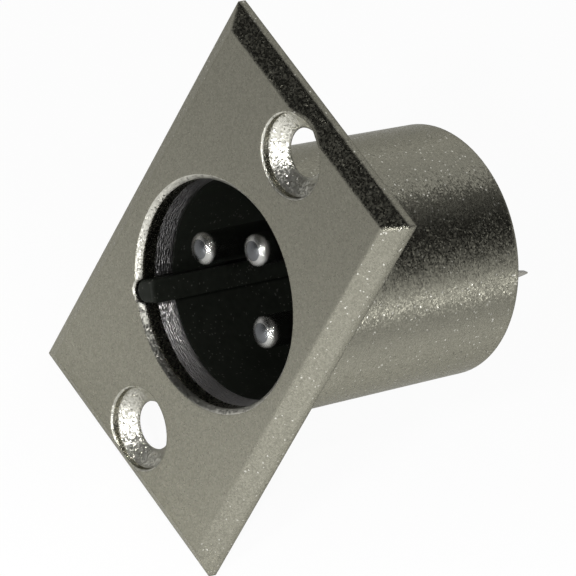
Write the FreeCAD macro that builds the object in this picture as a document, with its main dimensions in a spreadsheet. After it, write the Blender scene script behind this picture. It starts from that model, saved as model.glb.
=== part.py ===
import FreeCAD, Part
import os

import Sketcher
from FreeCAD import Placement, Rotation, Vector

# Three-contact male panel socket: die-cast shell, moulded insert, turned contacts.
# The front face looks towards -Y, the long side of the flange stands along Z and the barrel runs
# back along +Y. The origin is on the socket's axis, in the flange's rear face, where the panel is.
# Depths are measured back from the front face. Angles are measured from +X towards +Z.

doc = FreeCAD.newDocument("panel_socket")
sheet = doc.addObject("Spreadsheet::Sheet", "Sizes")

DRIVING_SIZES = {
    # flange
    "flange_width": 22.0,
    "flange_height": 36.0,
    "flange_edge": 0.65,
    "bevel_run": 1.35,
    "bevel_depth": 0.95,
    "ridge_radius": 0.18,
    # fixing holes
    "fixing_inset": 4.0,
    "fixing_hole_diameter": 3.5,
    "countersink_diameter": 5.95,
    "countersink_rim": 0.12,
    "countersink_wall": 0.58,
    "countersink_depth": 0.92,
    # mouth of the socket
    "bore_diameter": 16.3,
    "rim_chamfer": 0.37,
    "mouth_depth": 1.5,
    "lead_in_depth": 2.95,
    "lead_in_step": 0.2,
    # barrel
    "barrel_wall": 0.85,
    "barrel_land": 4.0,
    "barrel_taper": 0.2,
    "barrel_depth": 20.8,
    "barrel_rear_chamfer": 0.15,
    # insert
    "insert_clearance": 0.05,
    "insert_setback": 2.6,
    "skirt_wall": 0.45,
    "floor_thickness": 4.2,
    # key
    "key_angle": 225.0,
    "key_width": 1.7,
    "key_root": 0.58,
    "key_height": 1.25,
    "key_setback": 0.15,
    "key_round": 0.35,
    "notch_chamfer": 0.12,
    # contacts
    "contact_circle_radius": 4.1,
    "contact_diameter": 2.35,
    "contact_tip_depth": 1.3,
    "contact_shoulder": 0.4,
    "contact_dome_height": 0.3,
    "contact_clearance": 0.02,
    "shank_diameter": 3.0,
    "collar_diameter": 3.6,
    "collar_thickness": 1.0,
    "cup_bore_diameter": 2.2,
    "cup_bore_depth": 4.0,
    "cup_length": 4.6,
    "scoop_length": 2.8,
    "scoop_offset": 0.1,
    # earth contact
    "earth_angle": 30.0,
    "earth_slot_depth": 1.45,
    "earth_thickness": 0.4,
    "earth_width": 1.8,
    "earth_strip_length": 3.2,
    "earth_tongue_length": 4.95,
    "earth_tip_width": 0.12,
    "earth_hole_diameter": 0.8,
    "earth_hole_setback": 1.6,
    "earth_clearance": 0.1,
    # retaining screw
    "screw_diameter": 2.5,
    "screw_length": 4.05,
    "screw_recess": 0.35,
    "screw_chamfer": 0.25,
    "screw_slot_width": 0.5,
    "screw_slot_depth": 0.6,
    "screw_clearance": 0.05,
}
CONTACT_ANGLES = (0.0, 90.0, 180.0)
# two places closer than this are taken as one
NEARNESS = 1e-4


# A size with its present value and the sheet expression that gives it, so that one formula
# both places the first geometry and binds it to the sheet.
class Size:
    def __init__(self, value, text):
        self.value = value
        self.text = text

    def __add__(self, other):
        return Size(self.value + value_of(other), "(%s + %s)" % (self.text, text_of(other)))

    def __sub__(self, other):
        return Size(self.value - value_of(other), "(%s - %s)" % (self.text, text_of(other)))

    def __mul__(self, other):
        return Size(self.value * value_of(other), "(%s * %s)" % (self.text, text_of(other)))

    def __truediv__(self, other):
        return Size(self.value / value_of(other), "(%s / %s)" % (self.text, text_of(other)))

    def __neg__(self):
        return Size(-self.value, "(-%s)" % self.text)


def value_of(size):
    return size.value if isinstance(size, Size) else float(size)


def text_of(size):
    return size.text if isinstance(size, Size) else "%r" % float(size)


def fill_sheet():
    sizes = {}
    for row, (name, value) in enumerate(DRIVING_SIZES.items(), start=1):
        sheet.set("A%d" % row, name)
        sheet.set("B%d" % row, "%r" % value)
        sheet.setAlias("B%d" % row, name)
        sizes[name] = Size(value, "Sizes." + name)
    doc.recompute()
    add_tied_sizes(sizes)
    return sizes


# Sizes that follow from the driving ones: the insert, the cavity and the barrel are built outwards
# from the mouth's bore, and the insert and the solder ends are placed from the barrel's rear end.
def add_tied_sizes(sizes):
    clearance = sizes["insert_clearance"]
    sizes["flange_thickness"] = sizes["flange_edge"] + sizes["bevel_depth"]
    sizes["fixing_centre"] = sizes["flange_height"] / 2 - sizes["fixing_inset"]
    sizes["bore_radius"] = sizes["bore_diameter"] / 2
    sizes["skirt_inside"] = sizes["bore_radius"] - sizes["lead_in_step"]
    sizes["skirt_outside"] = sizes["skirt_inside"] + sizes["skirt_wall"]
    sizes["cavity_radius"] = sizes["skirt_outside"] + clearance
    sizes["barrel_radius"] = sizes["cavity_radius"] + sizes["barrel_wall"]
    sizes["earth_radius"] = sizes["cavity_radius"] - sizes["earth_slot_depth"]
    sizes["insert_rear_depth"] = sizes["barrel_depth"] - sizes["insert_setback"]
    sizes["floor_depth"] = sizes["insert_rear_depth"] - sizes["floor_thickness"]
    sizes["screw_depth"] = sizes["insert_rear_depth"] - sizes["floor_thickness"] / 2
    sizes["cup_end_depth"] = sizes["insert_rear_depth"] + sizes["cup_length"]
    sizes["earth_front_depth"] = sizes["insert_rear_depth"] - sizes["earth_strip_length"]
    sizes["earth_tip_depth"] = sizes["insert_rear_depth"] + sizes["earth_tongue_length"]
    sizes["earth_hole_depth"] = sizes["insert_rear_depth"] + sizes["earth_hole_setback"]


def bind(item, prop, size):
    item.setExpression(prop, text_of(size))


# Bodies and their sketches

def new_body(name):
    body = doc.addObject("PartDesign::Body", name)
    body.Label = name
    return body


def origin_plane(body, role):
    return next(item for item in body.Origin.OriginFeatures if item.Role == role)


def new_sketch(body, name, plane, lift=None, turn=None):
    sketch = body.newObject("Sketcher::SketchObject", name)
    sketch.AttachmentSupport = [(origin_plane(body, plane), "")]
    sketch.MapMode = "FlatFace"
    if lift is not None:
        bind(sketch, "AttachmentOffset.Base.z", lift)
    if turn is not None:
        bind(sketch, "AttachmentOffset.Rotation.Angle", turn)
    return sketch


# Holds a sketch's point at the given place, measured from the sketch's origin. A place of None is
# left free.
def hold_point(sketch, geometry, end, place):
    for axis_line, kind, size in ((-2, "DistanceX", place[0]), (-1, "DistanceY", place[1])):
        if isinstance(size, Size):
            sketch.addConstraint(Sketcher.Constraint(kind, -1, 1, geometry, end, size.value))
            bind(sketch, "Constraints[%d]" % (sketch.ConstraintCount - 1), size)
        elif size is not None:
            sketch.addConstraint(Sketcher.Constraint("PointOnObject", geometry, end, axis_line))


# The rounded stretch between two corners whose centre has the given X, and whether it runs
# anticlockwise.
def arc_between(start, end, centre_x):
    middle = (start + end) / 2
    chord = end - start
    centre_y = middle.y - (centre_x - middle.x) * chord.x / chord.y
    centre = Vector(centre_x, centre_y, 0)
    leftward = Vector(-chord.y, chord.x, 0).normalize()
    anticlockwise = (centre - middle).dot(leftward) > -NEARNESS
    outward = leftward * (-1 if anticlockwise else 1)
    crown = centre + outward * (start - centre).Length
    return Part.Arc(start, crown, end), anticlockwise


# Draws a closed outline. Each corner is a pair of sizes. A corner that ends a rounded stretch has the
# X of the stretch's centre as a third value. A plain 0 puts a corner on the sketch's own axis.
def draw_outline(sketch, corners):
    places = [Vector(value_of(corner[0]), value_of(corner[1]), 0) for corner in corners]
    ends = []
    for index, corner in enumerate(corners):
        start = places[index - 1]
        end = places[index]
        if len(corner) == 3:
            arc, anticlockwise = arc_between(start, end, value_of(corner[2]))
            sketch.addGeometry(arc, False)
            hold_point(sketch, index, 3, (corner[2], None))
            ends.append((1, 2) if anticlockwise else (2, 1))
        else:
            sketch.addGeometry(Part.LineSegment(start, end), False)
            ends.append((1, 2))
    for index, corner in enumerate(corners):
        following = (index + 1) % len(corners)
        last = ends[index][1]
        sketch.addConstraint(Sketcher.Constraint("Coincident", index, last, following, ends[following][0]))
        hold_point(sketch, index, last, corner[:2])


def draw_circle(sketch, centre, diameter):
    place = Vector(value_of(centre[0]), value_of(centre[1]), 0)
    circle = Part.Circle(place, Vector(0, 0, 1), value_of(diameter) / 2)
    geometry = sketch.addGeometry(circle, False)
    sketch.addConstraint(Sketcher.Constraint("Diameter", geometry, value_of(diameter)))
    bind(sketch, "Constraints[%d]" % (sketch.ConstraintCount - 1), diameter)
    hold_point(sketch, geometry, 3, centre)


def rectangle(left, right, bottom, top):
    return [(left, bottom), (right, bottom), (right, top), (left, top)]


# Features. A cut compares volumes, because one that points away from the solid removes nothing.

def new_feature(body, kind, name, sketch):
    feature = body.newObject("PartDesign::" + kind, name)
    feature.Profile = sketch
    sketch.Visibility = False
    return feature


def pad(body, name, sketch, length, both_ways=False):
    feature = new_feature(body, "Pad", name, sketch)
    bind(feature, "Length", length)
    if both_ways:
        feature.SideType = "Symmetric"
    doc.recompute()
    return feature


def check_cut(body, feature, volume_before):
    doc.recompute()
    if feature.Shape.Volume >= volume_before:
        raise RuntimeError("%s in %s removes nothing" % (feature.Name, body.Label))
    return feature


def pocket(body, name, sketch, length, both_ways=False):
    volume_before = body.Shape.Volume
    feature = new_feature(body, "Pocket", name, sketch)
    bind(feature, "Length", length)
    if both_ways:
        feature.SideType = "Symmetric"
    return check_cut(body, feature, volume_before)


def revolve(body, name, sketch, axis):
    feature = new_feature(body, "Revolution", name, sketch)
    feature.ReferenceAxis = (sketch, [axis])
    doc.recompute()
    return feature


def groove(body, name, sketch, axis):
    volume_before = body.Shape.Volume
    feature = new_feature(body, "Groove", name, sketch)
    feature.ReferenceAxis = (sketch, [axis])
    return check_cut(body, feature, volume_before)


def edges_where(shape, wanted):
    return ["Edge%d" % number for number, edge in enumerate(shape.Edges, start=1) if wanted(edge)]


def round_edges(body, name, base, edge_names, radius):
    feature = body.newObject("PartDesign::Fillet", name)
    feature.Base = (base, edge_names)
    bind(feature, "Radius", radius)
    doc.recompute()
    return feature


def chamfer_edges(body, name, base, edge_names, width):
    feature = body.newObject("PartDesign::Chamfer", name)
    feature.Base = (base, edge_names)
    bind(feature, "Size", width)
    doc.recompute()
    return feature


def near(first, second):
    return abs(first - second) < NEARNESS


sizes = fill_sheet()
front_face = -sizes["flange_thickness"]


# Place along +Y of a depth behind the front face.
def behind_face(name):
    return sizes[name] + front_face


# Shell: flange and barrel in one casting

def build_flange(body):
    half_width = sizes["flange_width"] / 2
    half_height = sizes["flange_height"] / 2
    plate = new_sketch(body, "flange_outline", "XZ_Plane")
    draw_outline(plate, rectangle(-half_width, half_width, -half_height, half_height))
    pad(body, "flange_plate", plate, sizes["flange_edge"])

    # the four bevels rise from the plate's outline to the flat front face
    foot = new_sketch(body, "bevel_foot", "XZ_Plane", lift=sizes["flange_edge"])
    draw_outline(foot, rectangle(-half_width, half_width, -half_height, half_height))
    bevel = pad(body, "flange_bevel", foot, sizes["bevel_depth"])
    slope = "-atan(%s / %s)" % (sizes["bevel_run"].text, sizes["bevel_depth"].text)
    bevel.setExpression("TaperAngle", slope)
    doc.recompute()

    def on_front_ridge(edge):
        return any(near(point.Y, front_face.value) for point in edge.Vertexes)

    ridges = edges_where(bevel.Shape, on_front_ridge)
    round_edges(body, "ridge_round", bevel, ridges, sizes["ridge_radius"])


def build_barrel(body):
    front = -sizes["flange_edge"]
    rear = behind_face("barrel_depth")
    rear_radius = sizes["barrel_radius"] - sizes["barrel_taper"]
    chamfer = sizes["barrel_rear_chamfer"]
    outline = new_sketch(body, "barrel_outline", "XY_Plane")
    draw_outline(outline, [
        (0, front),
        (sizes["barrel_radius"], front),
        (sizes["barrel_radius"], sizes["barrel_land"]),
        (rear_radius, rear - chamfer),
        (rear_radius - chamfer, rear),
        (0, rear),
    ])
    revolve(body, "barrel", outline, "V_Axis")


# The mouth, its lead-in taper and the cavity that takes the insert from behind.
def cut_socket(body):
    bore = sizes["bore_radius"]
    cavity = sizes["cavity_radius"]
    outline = new_sketch(body, "socket_outline", "XY_Plane")
    draw_outline(outline, [
        (0, front_face),
        (bore + sizes["rim_chamfer"], front_face),
        (bore, behind_face("rim_chamfer")),
        (bore, behind_face("mouth_depth")),
        (sizes["skirt_inside"], behind_face("lead_in_depth")),
        (cavity, behind_face("lead_in_depth")),
        (cavity, behind_face("barrel_depth")),
        (0, behind_face("barrel_depth")),
    ])
    groove(body, "socket", outline, "V_Axis")


# Outline of the key, or of its notch, in a sketch turned so that its own X points at the key.
def key_outline(clearance):
    half_width = sizes["key_width"] / 2 + clearance
    crown_centre = sizes["bore_radius"] + sizes["key_root"] + clearance - half_width
    inner = sizes["bore_radius"] - sizes["key_height"] - clearance
    return [
        (inner, -half_width),
        (crown_centre, -half_width),
        (crown_centre, half_width, crown_centre),
        (inner, half_width),
    ]


def cut_key_notch(body):
    notch = new_sketch(body, "notch_outline", "XZ_Plane", lift=-front_face, turn=sizes["key_angle"])
    draw_outline(notch, key_outline(sizes["insert_clearance"]))
    cut = pocket(body, "key_notch", notch, sizes["barrel_depth"])

    # the notch's rounded end is the only edge of the front face just outside the rim
    rim = (sizes["bore_radius"] + sizes["rim_chamfer"]).value

    def on_notch_end(edge):
        middle = edge.CenterOfMass
        distance = Vector(middle.x, 0, middle.z).Length
        return near(middle.y, front_face.value) and rim < distance < rim + sizes["key_root"].value

    mouth = edges_where(cut.Shape, on_notch_end)
    chamfer_edges(body, "notch_edge", cut, mouth, sizes["notch_chamfer"])


def cut_fixing_holes(body):
    centre = sizes["fixing_centre"]
    mouth = centre + sizes["countersink_diameter"] / 2
    rim = sizes["countersink_rim"]
    throat = centre + sizes["fixing_hole_diameter"] / 2
    wall_end = front_face + sizes["countersink_wall"]
    cone_end = wall_end + sizes["countersink_depth"]
    outline = new_sketch(body, "countersink_outline", "YZ_Plane")
    draw_outline(outline, [
        (front_face, centre),
        (front_face, mouth + rim),
        (front_face + rim, mouth),
        (wall_end, mouth),
        (cone_end, throat),
        (0, throat),
        (0, centre),
    ])
    axis_start = Vector(front_face.value, centre.value, 0)
    axis_line = outline.addGeometry(Part.LineSegment(axis_start, Vector(0, centre.value, 0)), True)
    hold_point(outline, axis_line, 1, (front_face, centre))
    hold_point(outline, axis_line, 2, (0, centre))
    upper = groove(body, "fixing_hole", outline, "Axis0")

    both = body.newObject("PartDesign::Mirrored", "fixing_holes")
    both.Originals = [upper]
    both.MirrorPlane = (origin_plane(body, "XY_Plane"), [""])
    body.Tip = both
    doc.recompute()


def cut_screw_hole(body, clearance):
    hole = new_sketch(body, "screw_hole_outline", "XY_Plane")
    draw_circle(hole, (0, behind_face("screw_depth")), sizes["screw_diameter"] + clearance * 2)
    pocket(body, "screw_hole", hole, sizes["barrel_radius"])


def build_shell():
    body = new_body("shell")
    build_flange(body)
    build_barrel(body)
    cut_socket(body)
    cut_key_notch(body)
    cut_fixing_holes(body)
    cut_screw_hole(body, sizes["screw_clearance"])
    return body


# Insert: floor, skirt and key in one black moulding

def build_insert():
    body = new_body("insulator")
    skirt_inside = sizes["skirt_inside"]
    skirt_outside = sizes["skirt_outside"]
    skirt_front = behind_face("lead_in_depth") + sizes["insert_clearance"]
    floor = behind_face("floor_depth")
    rear = behind_face("insert_rear_depth")
    cup = new_sketch(body, "cup_outline", "XY_Plane")
    draw_outline(cup, [
        (0, floor),
        (skirt_inside, floor),
        (skirt_inside, skirt_front),
        (skirt_outside, skirt_front),
        (skirt_outside, rear),
        (0, rear),
    ])
    revolve(body, "cup", cup, "V_Axis")
    add_key(body, rear)
    cut_contact_seats(body, rear)
    cut_earth_slot(body, rear)
    cut_screw_hole(body, sizes["screw_clearance"])
    return body


def add_key(body, rear):
    outline = new_sketch(body, "key_outline", "XZ_Plane", lift=-rear, turn=sizes["key_angle"])
    draw_outline(outline, key_outline(0.0))
    key = pad(body, "key", outline, sizes["insert_rear_depth"] - sizes["key_setback"])
    front = behind_face("key_setback")

    def on_key_front(edge):
        return all(near(point.Y, front.value) for point in edge.Vertexes)

    round_edges(body, "key_nose", key, edges_where(key.Shape, on_key_front), sizes["key_round"])


# Three stepped holes: a close fit on each shank and a wider seat for its collar, open to the rear.
def cut_contact_seats(body, rear):
    radius = sizes["contact_circle_radius"]
    clearance = sizes["contact_clearance"]
    shank = sizes["shank_diameter"] / 2 + clearance
    collar = sizes["collar_diameter"] / 2 + clearance
    seat = rear - sizes["collar_thickness"]
    outline = new_sketch(body, "seat_outline", "XY_Plane")
    draw_outline(outline, [
        (radius, behind_face("floor_depth")),
        (radius + shank, behind_face("floor_depth")),
        (radius + shank, seat),
        (radius + collar, seat),
        (radius + collar, rear),
        (radius, rear),
    ])
    axis_start = Vector(radius.value, behind_face("floor_depth").value, 0)
    axis_line = outline.addGeometry(Part.LineSegment(axis_start, Vector(radius.value, rear.value, 0)), True)
    hold_point(outline, axis_line, 1, (radius, behind_face("floor_depth")))
    hold_point(outline, axis_line, 2, (radius, rear))
    first = groove(body, "contact_seat", outline, "Axis0")

    seats = body.newObject("PartDesign::PolarPattern", "contact_seats")
    seats.Originals = [first]
    seats.Axis = (next(item for item in body.Origin.OriginFeatures if item.Role == "Y_Axis"), [""])
    seats.Reversed = True
    seats.Angle = CONTACT_ANGLES[-1]
    seats.Occurrences = len(CONTACT_ANGLES)
    body.Tip = seats
    doc.recompute()


def cut_earth_slot(body, rear):
    clearance = sizes["earth_clearance"]
    inner = sizes["earth_radius"] - clearance
    front = behind_face("earth_front_depth") - clearance
    # the slot is open at the rear and at the side, where the contact touches the casting
    slot = new_sketch(body, "earth_slot_outline", "XZ_Plane", lift=-rear, turn=sizes["earth_angle"])
    half_width = sizes["earth_width"] / 2 + clearance
    draw_outline(slot, rectangle(inner, sizes["cavity_radius"], -half_width, half_width))
    volume_before = body.Shape.Volume
    feature = new_feature(body, "Pocket", "earth_slot", slot)
    bind(feature, "Length", rear - front)
    feature.Reversed = True
    check_cut(body, feature, volume_before)


# Contacts: turned pins with a domed tip in front and a solder cup behind

def place_around_axis(body, angle, radius):
    body.Placement = Placement(Vector(0, 0, 0), Rotation(Vector(0, 1, 0), 0))
    body.setExpression("Placement.Rotation.Angle", text_of(-angle))
    body.setExpression("Placement.Base.x", "%s * cos(%s)" % (text_of(radius), text_of(angle)))
    body.setExpression("Placement.Base.z", "%s * sin(%s)" % (text_of(radius), text_of(angle)))
    doc.recompute()


def build_contact(number, angle):
    body = new_body("contact_%d" % number)
    shaft = sizes["contact_diameter"] / 2
    shank = sizes["shank_diameter"] / 2
    crown = shaft - sizes["contact_shoulder"]
    height = sizes["contact_dome_height"]
    tip = behind_face("contact_tip_depth")
    shank_front = behind_face("floor_depth")
    collar_rear = behind_face("insert_rear_depth")
    collar_front = collar_rear - sizes["collar_thickness"]
    end = behind_face("cup_end_depth")
    outline = new_sketch(body, "turned_outline", "XY_Plane")
    draw_outline(outline, [
        (0, tip),
        (crown, tip + height, 0),
        (shaft, tip + height + sizes["contact_shoulder"], crown),
        (shaft, shank_front),
        (shank, shank_front),
        (shank, collar_front),
        (sizes["collar_diameter"] / 2, collar_front),
        (sizes["collar_diameter"] / 2, collar_rear),
        (shank, collar_rear),
        (shank, end),
        (sizes["cup_bore_diameter"] / 2, end),
        (sizes["cup_bore_diameter"] / 2, end - sizes["cup_bore_depth"]),
        (0, end - sizes["cup_bore_depth"]),
    ])
    revolve(body, "turned_form", outline, "V_Axis")

    # the cup's outward half is cut away at its end, so that a wire can be laid in
    scoop = new_sketch(body, "scoop_outline", "XY_Plane")
    scoop_front = end - sizes["scoop_length"]
    draw_outline(scoop, rectangle(sizes["scoop_offset"], sizes["shank_diameter"], scoop_front, end))
    pocket(body, "scoop", scoop, sizes["shank_diameter"], both_ways=True)
    place_around_axis(body, angle, sizes["contact_circle_radius"])
    return body


# Earth contact: a strip that bows out against the casting and ends in a tapered solder tongue

def build_earth_contact():
    body = new_body("earth_contact")
    inner = sizes["earth_radius"]
    outer = inner + sizes["earth_thickness"]
    front = behind_face("earth_front_depth")
    rear = behind_face("insert_rear_depth")
    half_width = sizes["earth_width"] / 2
    # the strip is flat across, so its two long edges meet the round cavity first
    hollow = half_width * half_width / (sizes["cavity_radius"] * 2)
    bow_height = sizes["cavity_radius"] - hollow - sizes["contact_clearance"] - outer
    half_length = (rear - front) / 2
    bow_radius = (half_length * half_length + bow_height * bow_height) / (bow_height * 2)
    strip = new_sketch(body, "strip_outline", "XY_Plane")
    draw_outline(strip, [
        (outer, front),
        (outer, rear, outer + bow_height - bow_radius),
        (inner, rear),
        (inner, front, inner + bow_height - bow_radius),
    ])
    pad(body, "strip", strip, sizes["earth_width"], both_ways=True)

    tongue = new_sketch(body, "tongue_outline", "YZ_Plane", lift=inner)
    half_tip = sizes["earth_tip_width"] / 2
    tip = behind_face("earth_tip_depth")
    draw_outline(tongue, [(rear, -half_width), (tip, -half_tip), (tip, half_tip), (rear, half_width)])
    draw_circle(tongue, (behind_face("earth_hole_depth"), 0), sizes["earth_hole_diameter"])
    pad(body, "tongue", tongue, sizes["earth_thickness"])
    place_around_axis(body, sizes["earth_angle"], 0.0)
    return body


# Retaining screw: a grub screw in the floor, backed out into the casting's wall below

def build_retaining_screw():
    body = new_body("retaining_screw")
    radius = sizes["screw_diameter"] / 2
    outer = sizes["screw_recess"] - sizes["barrel_radius"]
    inner = outer + sizes["screw_length"]
    chamfer = sizes["screw_chamfer"]
    depth = behind_face("screw_depth")
    outline = new_sketch(body, "screw_outline", "XZ_Plane", lift=-depth)
    draw_outline(outline, [
        (0, outer),
        (radius - chamfer, outer),
        (radius, outer + chamfer),
        (radius, inner - chamfer),
        (radius - chamfer, inner),
        (0, inner),
    ])
    revolve(body, "screw_form", outline, "V_Axis")
    slot = new_sketch(body, "slot_outline", "XZ_Plane", lift=-depth)
    half_width = sizes["screw_slot_width"] / 2
    draw_outline(slot, rectangle(-half_width, half_width, outer, outer + sizes["screw_slot_depth"]))
    pocket(body, "slot", slot, sizes["screw_diameter"], both_ways=True)
    return body


def main():
    os.makedirs("parts", exist_ok=True)
    parts = [build_shell(), build_insert()]
    for number, angle in enumerate(CONTACT_ANGLES, start=1):
        parts.append(build_contact(number, angle))
    parts.append(build_earth_contact())
    parts.append(build_retaining_screw())
    doc.recompute()
    for item in doc.Objects:
        if "Invalid" in item.State or "Error" in item.State:
            raise RuntimeError("%s failed: %s" % (item.Name, item.State))
    for body in parts:
        if body.Shape.isNull() or not body.Shape.isValid() or len(body.Shape.Solids) != 1:
            raise RuntimeError("%s is not one valid solid" % body.Label)
    for body in parts:
        body.Shape.exportStep("parts/%s.step" % body.Label)
        print(body.Label, round(body.Shape.Volume, 2), "mm3")


main()
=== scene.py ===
import math

import bpy
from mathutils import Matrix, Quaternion, Vector


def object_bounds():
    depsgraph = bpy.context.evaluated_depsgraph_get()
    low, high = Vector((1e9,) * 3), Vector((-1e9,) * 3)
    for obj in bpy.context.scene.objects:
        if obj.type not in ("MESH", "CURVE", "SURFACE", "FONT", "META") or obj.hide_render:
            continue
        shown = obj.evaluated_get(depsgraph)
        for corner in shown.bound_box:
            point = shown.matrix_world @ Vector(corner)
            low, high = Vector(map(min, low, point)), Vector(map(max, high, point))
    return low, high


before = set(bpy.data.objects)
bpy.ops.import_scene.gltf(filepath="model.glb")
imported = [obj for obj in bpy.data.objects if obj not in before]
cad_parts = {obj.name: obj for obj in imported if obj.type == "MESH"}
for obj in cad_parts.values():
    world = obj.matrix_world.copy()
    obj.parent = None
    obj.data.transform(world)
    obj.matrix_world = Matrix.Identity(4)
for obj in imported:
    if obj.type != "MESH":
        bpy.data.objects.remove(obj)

scene = bpy.context.scene
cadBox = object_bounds()
mm = 0.001
edgeSamples = 6
noiseDetail = 2.0
fineDetail = 1.0
print("socket loaded:", ", ".join(sorted(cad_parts)))


# helpers for the finishes


def startFinish(name):
    finish = bpy.data.materials.new(name)
    finish.use_nodes = True
    tree = finish.node_tree
    tree.nodes.clear()
    output = tree.nodes.new("ShaderNodeOutputMaterial")
    shader = tree.nodes.new("ShaderNodeBsdfPrincipled")
    tree.links.new(shader.outputs["BSDF"], output.inputs["Surface"])
    return finish, tree, shader


# gives a socket its value, or the link that carries it
def feed(tree, socket, value):
    if isinstance(value, bpy.types.NodeSocket):
        tree.links.new(value, socket)
    else:
        socket.default_value = value


def addNode(tree, kind, settings=None, inputs=None):
    node = tree.nodes.new(kind)
    for name, value in (settings or {}).items():
        setattr(node, name, value)
    for name, value in (inputs or {}).items():
        feed(tree, node.inputs[name], value)
    return node


def calculate(tree, operation, first, second=0.0):
    node = addNode(tree, "ShaderNodeMath", {"operation": operation}, {0: first, 1: second})
    return node.outputs[0]


def combine(tree, operation, inputs):
    return addNode(tree, "ShaderNodeVectorMath", {"operation": operation}, inputs).outputs[0]


def objectPlace(tree):
    return addNode(tree, "ShaderNodeTexCoord").outputs["Object"]


# noise whose lumps are about the given size across
def addNoise(tree, size, detail=noiseDetail, place=None):
    inputs = {"Vector": place or objectPlace(tree), "Scale": 1 / size, "Detail": detail}
    return addNode(tree, "ShaderNodeTexNoise", inputs=inputs).outputs["Fac"]


def spread(tree, value, low, high, fromLow=0.0, fromHigh=1.0):
    inputs = {"Value": value, "From Min": fromLow, "From Max": fromHigh, "To Min": low, "To Max": high}
    return addNode(tree, "ShaderNodeMapRange", inputs=inputs).outputs["Result"]


# either colour is three numbers or a socket
def blendColours(tree, amount, first, second):
    mixed = addNode(tree, "ShaderNodeMix", {"data_type": "RGBA"}, {0: amount})
    for socket in mixed.inputs:
        if socket.identifier == "A_Color":
            feed(tree, socket, (*first, 1) if isinstance(first, tuple) else first)
        if socket.identifier == "B_Color":
            feed(tree, socket, (*second, 1) if isinstance(second, tuple) else second)
    return next(socket for socket in mixed.outputs if socket.identifier == "Result_Color")


def blendValues(tree, amount, first, second):
    return addNode(tree, "ShaderNodeMix", inputs={0: amount, 2: first, 3: second}).outputs[0]


# a random colour for each grain, and its red, green and blue as three more random numbers
def addGrains(tree, size):
    inputs = {"Vector": objectPlace(tree), "Scale": 1 / size}
    colour = addNode(tree, "ShaderNodeTexVoronoi", inputs=inputs).outputs["Color"]
    return colour, addNode(tree, "ShaderNodeSeparateColor", inputs={"Color": colour}).outputs


# the surface's direction, rounded over near its edges
def softEdges(tree, radius):
    return addNode(tree, "ShaderNodeBevel", {"samples": edgeSamples}, {"Radius": radius}).outputs["Normal"]


# one of the part's own directions, X across, Y from front to back and Z up
def partAxis(tree, vector, axis):
    return addNode(tree, "ShaderNodeSeparateXYZ", inputs={"Vector": vector}).outputs[axis]


def addBump(tree, height, depth, normal):
    inputs = {"Height": height, "Distance": depth, "Strength": 1.0, "Normal": normal}
    return addNode(tree, "ShaderNodeBump", inputs=inputs).outputs["Normal"]


# leans a direction towards each grain's own random one
def leanGrains(tree, colour, normal, amount):
    middle = (0.5, 0.5, 0.5)
    offset = combine(tree, "SUBTRACT", {0: colour, 1: middle})
    scaled = combine(tree, "SCALE", {0: offset, "Scale": amount})
    return combine(tree, "NORMALIZE", {0: combine(tree, "ADD", {0: normal, 1: scaled})})


# finishes

nickel = {
    "light": (0.32, 0.31, 0.255),
    "dark": (0.225, 0.22, 0.178),
    # painted light and shade: the plating is drawn lighter at the bottom end and darker at the top end
    "paintedLowEndLight": 1.14,
    "paintedHighEndShade": 0.85,
    "halfHeight": 18.0 * mm,
    "mottleSize": 0.5 * mm,
    "mottleDetail": 3.0,
    "grainSize": 0.11 * mm,
    "grainShare": 0.7,
    "grainLean": 0.14,
    "steepLean": 0.4,
    "steepRarity": 5.0,
    "roughness": (0.17, 0.36),
    "edgeTint": (0.72, 0.71, 0.66),
    # painted glints on single grains
    "paintedGlintColour": (0.62, 0.61, 0.55),
    "paintedGlintShare": 0.012,
    "faceSlope": -0.95,
    "faceLean": 0.06,
    "faceSteepLean": 0.2,
    "faceRoughness": (0.26, 0.38),
    "pitSize": 0.05 * mm,
    "pitDepth": 0.003 * mm,
    "softEdge": 0.4 * mm,
    "cutSlope": -0.707,
    "cutTolerance": 0.1,
    # painted highlight: a lighter colour on the faces at 45 degrees
    "paintedCutHighlight": (0.60, 0.59, 0.53),
    "cutRoughness": 0.35,
    "cutLean": 0.3,
    "cutSteepLean": 0.8,
    "mouthRadius": 8.6 * mm,
    "mouthFront": -0.1 * mm,
    # painted light: a lighter colour in the mouth of the bore for the light its streaky wall catches
    "paintedMouthLight": (0.67, 0.65, 0.65),
    # painted shade on one side of the mouth and on one side of the rim
    "mouthPaintedShade": {"colour": (0.20, 0.195, 0.195), "degrees": 165.0, "span": (0.35, 0.6)},
    "rimPaintedShade": {"colour": (0.16, 0.157, 0.14), "degrees": 260.0, "span": (0.65, 0.94)},
    "mouthRoughness": 0.40,
    "streakLength": 0.45 * mm,
    "streakWidth": 0.09 * mm,
    "streakDepth": 0.13 * mm,
}


# how far a face is turned to the rear, from -1 on the front to 1 on the back
def slope(tree):
    return partAxis(tree, addNode(tree, "ShaderNodeNewGeometry").outputs["True Normal"], "Y")


# 1 on the faces that a cutter left at 45 degrees, which are drawn brighter than the rest with a painted
# highlight
def cutZone(tree):
    inputs = {0: slope(tree), 1: nickel["cutSlope"], 2: nickel["cutTolerance"]}
    return addNode(tree, "ShaderNodeMath", {"operation": "COMPARE"}, inputs).outputs[0]


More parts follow.
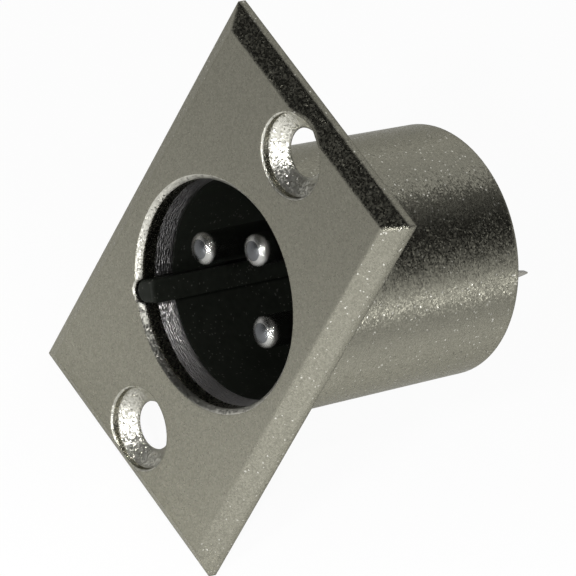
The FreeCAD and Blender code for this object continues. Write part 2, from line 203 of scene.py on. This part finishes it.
# 1 within the rim of the bore, 1 in its mouth, and a place that runs round it for the streaks of a tool
def boreZones(tree):
    across, along, up = (partAxis(tree, objectPlace(tree), axis) for axis in ("X", "Y", "Z"))
    squares = [calculate(tree, "POWER", side, 2.0) for side in (across, up)]
    inside = calculate(tree, "LESS_THAN", calculate(tree, "ADD", *squares), nickel["mouthRadius"] ** 2)
    mouth = calculate(tree, "MULTIPLY", inside, calculate(tree, "GREATER_THAN", along, nickel["mouthFront"]))
    stretch = nickel["mouthRadius"] / nickel["streakLength"] * nickel["streakWidth"]
    turn = calculate(tree, "MULTIPLY", calculate(tree, "ARCTAN2", up, across), stretch)
    track = addNode(tree, "ShaderNodeCombineXYZ", inputs={"X": turn, "Y": along})
    return inside, mouth, track.outputs["Vector"]


# a colour that gives way to a darker one on one side of the bore, at an angle about its middle: painted
# shade
def paintShadeOnSide(tree, bright, paintedSideShade, within=1.0):
    across, up = (partAxis(tree, objectPlace(tree), axis) for axis in ("X", "Z"))
    turn = math.radians(paintedSideShade["degrees"])
    sideways = calculate(tree, "MULTIPLY", across, math.cos(turn) / nickel["mouthRadius"])
    upwards = calculate(tree, "MULTIPLY", up, math.sin(turn) / nickel["mouthRadius"])
    nearness = spread(tree, calculate(tree, "ADD", sideways, upwards), 0.0, 1.0, *paintedSideShade["span"])
    return blendColours(tree, calculate(tree, "MULTIPLY", nearness, within), bright, paintedSideShade["colour"])


# a value that has its own levels on the flat front and on the cut faces
def byZone(tree, zones, plain, face, cut):
    return blendValues(tree, zones["cut"], blendValues(tree, zones["flat"], plain, face), cut)


def nickelColour(tree, zones, random):
    mottle = addNoise(tree, nickel["mottleSize"], nickel["mottleDetail"])
    tone = blendValues(tree, nickel["grainShare"], mottle, random["Blue"])
    plain = blendColours(tree, tone, nickel["dark"], nickel["light"])
    # painted light and shade: lighter towards the bottom end and darker towards the top, as the light falls
    height = partAxis(tree, objectPlace(tree), "Z")
    ends = (-nickel["halfHeight"], nickel["halfHeight"])
    paintedShading = spread(tree, height, nickel["paintedLowEndLight"], nickel["paintedHighEndShade"], *ends)
    withPaintedShade = combine(tree, "SCALE", {0: plain, "Scale": paintedShading})
    # painted glints: single grains drawn bright, everywhere but on the flat front
    chance = calculate(tree, "ADD", random["Red"], zones["flat"])
    paintedGlint = calculate(tree, "LESS_THAN", chance, nickel["paintedGlintShare"])
    plated = blendColours(tree, paintedGlint, withPaintedShade, nickel["paintedGlintColour"])
    # painted light in the mouth, with painted shade on one side of it
    paintedMouthLight = paintShadeOnSide(tree, nickel["paintedMouthLight"], nickel["mouthPaintedShade"])
    # painted highlight on the 45-degree faces, with painted shade on the rim below the key
    paintedCutHighlight = paintShadeOnSide(tree, nickel["paintedCutHighlight"], nickel["rimPaintedShade"], zones["inside"])
    inMouth = blendColours(tree, zones["mouth"], plated, paintedMouthLight)
    return blendColours(tree, zones["cut"], inMouth, paintedCutHighlight)


def nickelRoughness(tree, zones, random):
    plain, face = (spread(tree, random["Red"], *nickel[name]) for name in ("roughness", "faceRoughness"))
    satin = blendValues(tree, zones["flat"], plain, face)
    plated = blendValues(tree, zones["mouth"], satin, nickel["mouthRoughness"])
    return blendValues(tree, zones["cut"], plated, nickel["cutRoughness"])


# most grains lean a little, which gives the plating its sparkle, and a few lean far over
def nickelDirection(tree, zones, grain, random, track):
    lean = byZone(tree, zones, nickel["grainLean"], nickel["faceLean"], nickel["cutLean"])
    steepLean = byZone(tree, zones, nickel["steepLean"], nickel["faceSteepLean"], nickel["cutSteepLean"])
    steepness = calculate(tree, "POWER", random["Green"], nickel["steepRarity"])
    edges = softEdges(tree, nickel["softEdge"])
    leaning = leanGrains(tree, grain, edges, spread(tree, steepness, lean, steepLean))
    pitted = addBump(tree, addNoise(tree, nickel["pitSize"], fineDetail), nickel["pitDepth"], leaning)
    ripple = addNoise(tree, nickel["streakWidth"], fineDetail, track)
    streaks = calculate(tree, "MULTIPLY", ripple, zones["mouth"])
    return addBump(tree, streaks, nickel["streakDepth"], pitted)


def makeNickel():
    finish, tree, shader = startFinish("satinNickel")
    shader.inputs["Metallic"].default_value = 1.0
    shader.inputs["Specular Tint"].default_value = (*nickel["edgeTint"], 1)
    inside, mouth, track = boreZones(tree)
    flat = calculate(tree, "LESS_THAN", slope(tree), nickel["faceSlope"])
    zones = {"inside": inside, "mouth": mouth, "flat": flat, "cut": cutZone(tree)}
    grain, random = addGrains(tree, nickel["grainSize"])
    feed(tree, shader.inputs["Base Color"], nickelColour(tree, zones, random))
    feed(tree, shader.inputs["Roughness"], nickelRoughness(tree, zones, random))
    feed(tree, shader.inputs["Normal"], nickelDirection(tree, zones, grain, random, track))
    return finish


moulding = {
    "light": (0.017, 0.0192, 0.0155),
    "dark": (0.006, 0.007, 0.0053),
    "mottleSize": 0.5 * mm,
    "mottleDetail": 3.0,
    "roughness": (0.42, 0.62),
    "specular": 0.08,
    "speckSize": 0.10 * mm,
    "speckShare": 0.02,
    "speckColour": (0.05, 0.05, 0.045),
    "textureSize": 0.09 * mm,
    "textureDepth": 0.006 * mm,
    "softEdge": 0.15 * mm,
}


def makeMoulding():
    finish, tree, shader = startFinish("blackMoulding")
    mottle = addNoise(tree, moulding["mottleSize"], moulding["mottleDetail"])
    black = blendColours(tree, mottle, moulding["dark"], moulding["light"])
    grain, random = addGrains(tree, moulding["speckSize"])
    speck = calculate(tree, "LESS_THAN", random["Red"], moulding["speckShare"])
    feed(tree, shader.inputs["Base Color"], blendColours(tree, speck, black, moulding["speckColour"]))
    feed(tree, shader.inputs["Roughness"], spread(tree, mottle, *moulding["roughness"]))
    shader.inputs["Specular IOR Level"].default_value = moulding["specular"]
    texture = addNoise(tree, moulding["textureSize"])
    edges = softEdges(tree, moulding["softEdge"])
    feed(tree, shader.inputs["Normal"], addBump(tree, texture, moulding["textureDepth"], edges))
    return finish


plating = {
    "light": (0.46, 0.46, 0.44),
    "dark": (0.36, 0.36, 0.345),
    # painted shade: a darker colour on the cap of each pin's dome
    "paintedDomeShade": (0.13, 0.135, 0.14),
    "domeEnd": -0.04 * mm,
    "mottleSize": 0.6 * mm,
    "roughness": (0.14, 0.26),
    "turnSize": 0.05 * mm,
    "turnDepth": 0.0012 * mm,
    "softEdge": 0.9 * mm,
}


def makePlating(name, values):
    finish, tree, shader = startFinish(name)
    shader.inputs["Metallic"].default_value = 1.0
    mottle = addNoise(tree, values["mottleSize"])
    colour = blendColours(tree, mottle, values["dark"], values["light"])
    # painted shade: the cap of each pin's dome is drawn darker, for the dark room it mirrors
    if "domeEnd" in values:
        paintedDome = calculate(tree, "LESS_THAN", partAxis(tree, objectPlace(tree), "Y"), values["domeEnd"])
        colour = blendColours(tree, paintedDome, colour, values["paintedDomeShade"])
    feed(tree, shader.inputs["Base Color"], colour)
    feed(tree, shader.inputs["Roughness"], spread(tree, mottle, *values["roughness"]))
    turning = addNoise(tree, values["turnSize"], fineDetail)
    edges = softEdges(tree, values["softEdge"])
    feed(tree, shader.inputs["Normal"], addBump(tree, turning, values["turnDepth"], edges))
    return finish


tin = {
    "light": (0.34, 0.33, 0.30),
    "dark": (0.22, 0.215, 0.19),
    "mottleSize": 0.4 * mm,
    "roughness": (0.25, 0.42),
    "turnSize": 0.08 * mm,
    "turnDepth": 0.003 * mm,
    "softEdge": 0.05 * mm,
}

steel = {
    "light": (0.42, 0.42, 0.41),
    "dark": (0.28, 0.28, 0.27),
    "mottleSize": 0.4 * mm,
    "roughness": (0.28, 0.42),
    "turnSize": 0.06 * mm,
    "turnDepth": 0.002 * mm,
    "softEdge": 0.05 * mm,
}

silverPlate = makePlating("silverPlate", plating)
finishes = {
    "shell": makeNickel(),
    "insulator": makeMoulding(),
    "contact_1": silverPlate,
    "contact_2": silverPlate,
    "contact_3": silverPlate,
    "earth_contact": makePlating("tinnedStrip", tin),
    "retaining_screw": makePlating("screwSteel", steel),
}
for node, finish in finishes.items():
    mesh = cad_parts[node].data
    mesh.materials.clear()
    mesh.materials.append(finish)
print("finishes made:", len(set(finishes.values())))


# floor and lights

studio = {
    "floorSize": 4.0,
    "floorGap": 0.02 * mm,
    "floorColour": (0.80, 0.80, 0.80),
    "whiteShare": 0.94,
    "mirroredShare": 0.12,
    "roomLevel": 0.52,
    "darkSide": (-0.18, -0.15, 0.97),
    "darkLevel": 0.02,
    "fade": (-0.1, 0.36),
}


# 1 for rays from the camera, a mirror or glass, 0 for the light that falls on things
def seenDirectly(tree):
    path = addNode(tree, "ShaderNodeLightPath")
    total = path.outputs["Is Camera Ray"]
    for name in ("Is Glossy Ray", "Is Transmission Ray"):
        total = calculate(tree, "MAXIMUM", total, path.outputs[name])
    return total


def addFloor():
    half = studio["floorSize"] / 2
    level = cadBox[0].z - studio["floorGap"]
    mesh = bpy.data.meshes.new("floor")
    corners = [(-half, -half, level), (half, -half, level), (half, half, level), (-half, half, level)]
    mesh.from_pydata(corners, [], [(0, 1, 2, 3)])
    floor = bpy.data.objects.new("floor", mesh)
    scene.collection.objects.link(floor)
    finish = bpy.data.materials.new("paleFloor")
    finish.use_nodes = True
    tree = finish.node_tree
    tree.nodes.clear()
    output = tree.nodes.new("ShaderNodeOutputMaterial")
    paint = addNode(tree, "ShaderNodeBsdfDiffuse", inputs={"Color": (*studio["floorColour"], 1)})
    white = addNode(tree, "ShaderNodeEmission", inputs={"Color": (1, 1, 1, 1), "Strength": 1.0})
    cameraRay = addNode(tree, "ShaderNodeLightPath").outputs["Is Camera Ray"]
    whiteness = spread(tree, cameraRay, studio["mirroredShare"], studio["whiteShare"])
    share = calculate(tree, "MULTIPLY", seenDirectly(tree), whiteness)
    inputs = {0: share, 1: paint.outputs[0], 2: white.outputs[0]}
    mixed = addNode(tree, "ShaderNodeMixShader", inputs=inputs)
    tree.links.new(mixed.outputs[0], output.inputs["Surface"])
    mesh.materials.append(finish)


def addRoom():
    world = bpy.data.worlds.new("studio")
    scene.world = world
    world.use_nodes = True
    tree = world.node_tree
    tree.nodes.clear()
    output = tree.nodes.new("ShaderNodeOutputWorld")
    background = addNode(tree, "ShaderNodeBackground", inputs={"Color": (1, 1, 1, 1)})
    # white all round near the floor, and a dim ceiling
    direction = addNode(tree, "ShaderNodeTexCoord").outputs["Generated"]
    product = {"operation": "DOT_PRODUCT"}
    height = addNode(tree, "ShaderNodeVectorMath", product, {0: direction, 1: studio["darkSide"]})
    seen = spread(tree, height.outputs["Value"], 1.0, studio["darkLevel"], *studio["fade"])
    strength = blendValues(tree, seenDirectly(tree), studio["roomLevel"], seen)
    feed(tree, background.inputs["Strength"], strength)
    tree.links.new(background.outputs[0], output.inputs["Surface"])


# soft lamps: two windows behind and to the left, a flash near the camera and two low strips
lamps = {
    "windowBehind": {"place": (-0.60, 0.60, 0.50), "size": 0.8, "power": 1.45},
    "windowAbove": {"place": (-0.16, 0.60, 0.74), "size": 0.5, "power": 0.14},
    "flash": {"place": (0.154, -0.44, 0.292), "size": 0.04, "power": 1.0},
    "stripFront": {"place": (0.254, -0.758, 0.016), "size": 0.16, "tall": 0.06, "power": 2.2},
    "stripBack": {"place": (0.62, 0.52, 0.13), "size": 0.08, "power": 0.12},
}


# narrow lamps for the floor, where the right edge, the face and the barrel mirror it
spotShape = {"softRim": 0.8, "radius": 0.01}
spots = {
    "patchRight": {
        "place": (0.17, -0.25, 0.35),
        "aim": (0.052, -0.036, -0.018),
        "degrees": 15.5,
        "power": 9.5,
    },
    "patchFront": {
        "place": (-0.25, -0.25, 0.35),
        "aim": (-0.017, -0.007, -0.018),
        "degrees": 3.5,
        "power": 3.4,
    },
    "patchRear": {
        "place": (0.20, 0.15, 0.35),
        "aim": (0.050, 0.044, -0.018),
        "degrees": 12.0,
        "power": 3.2,
    },
}


def addLamp(name, kind, place, aim, power):
    lamp = bpy.data.lights.new(name, kind)
    lamp.energy = power
    holder = bpy.data.objects.new(name, lamp)
    holder.location = place
    holder.rotation_euler = (Vector(aim) - Vector(place)).to_track_quat("-Z", "Y").to_euler()
    scene.collection.objects.link(holder)
    return lamp


def addLamps():
    for name, values in lamps.items():
        lamp = addLamp(name, "AREA", values["place"], (0, 0, 0), values["power"])
        lamp.shape = "RECTANGLE"
        lamp.size = values["size"]
        lamp.size_y = values.get("tall", values["size"])
    for name, values in spots.items():
        lamp = addLamp(name, "SPOT", values["place"], values["aim"], values["power"])
        lamp.spot_size = math.radians(values["degrees"])
        lamp.spot_blend = spotShape["softRim"]
        lamp.shadow_soft_size = spotShape["radius"]


addFloor()
addRoom()
addLamps()
print("studio set")


# camera

cameraValues = {
    "place": (232.39 * mm, -320.05 * mm, 317.54 * mm),
    "aim": (1.988 * mm, 3.074 * mm, 1.695 * mm),
    "rollDegrees": 29.45,
    "lens": 452.5,
    "sensor": 36.0,
    "near": 0.05,
    "far": 20.0,
}


def addCamera():
    lens = bpy.data.cameras.new("camera")
    lens.lens = cameraValues["lens"]
    lens.sensor_width = cameraValues["sensor"]
    lens.clip_start = cameraValues["near"]
    lens.clip_end = cameraValues["far"]
    camera = bpy.data.objects.new("camera", lens)
    camera.location = cameraValues["place"]
    sight = Vector(cameraValues["aim"]) - Vector(cameraValues["place"])
    roll = Quaternion((0, 0, 1), math.radians(cameraValues["rollDegrees"]))
    camera.rotation_mode = "QUATERNION"
    camera.rotation_quaternion = sight.to_track_quat("-Z", "Y") @ roll
    scene.collection.objects.link(camera)
    scene.camera = camera


addCamera()
scene.view_settings.view_transform = "Standard"
print("camera placed")
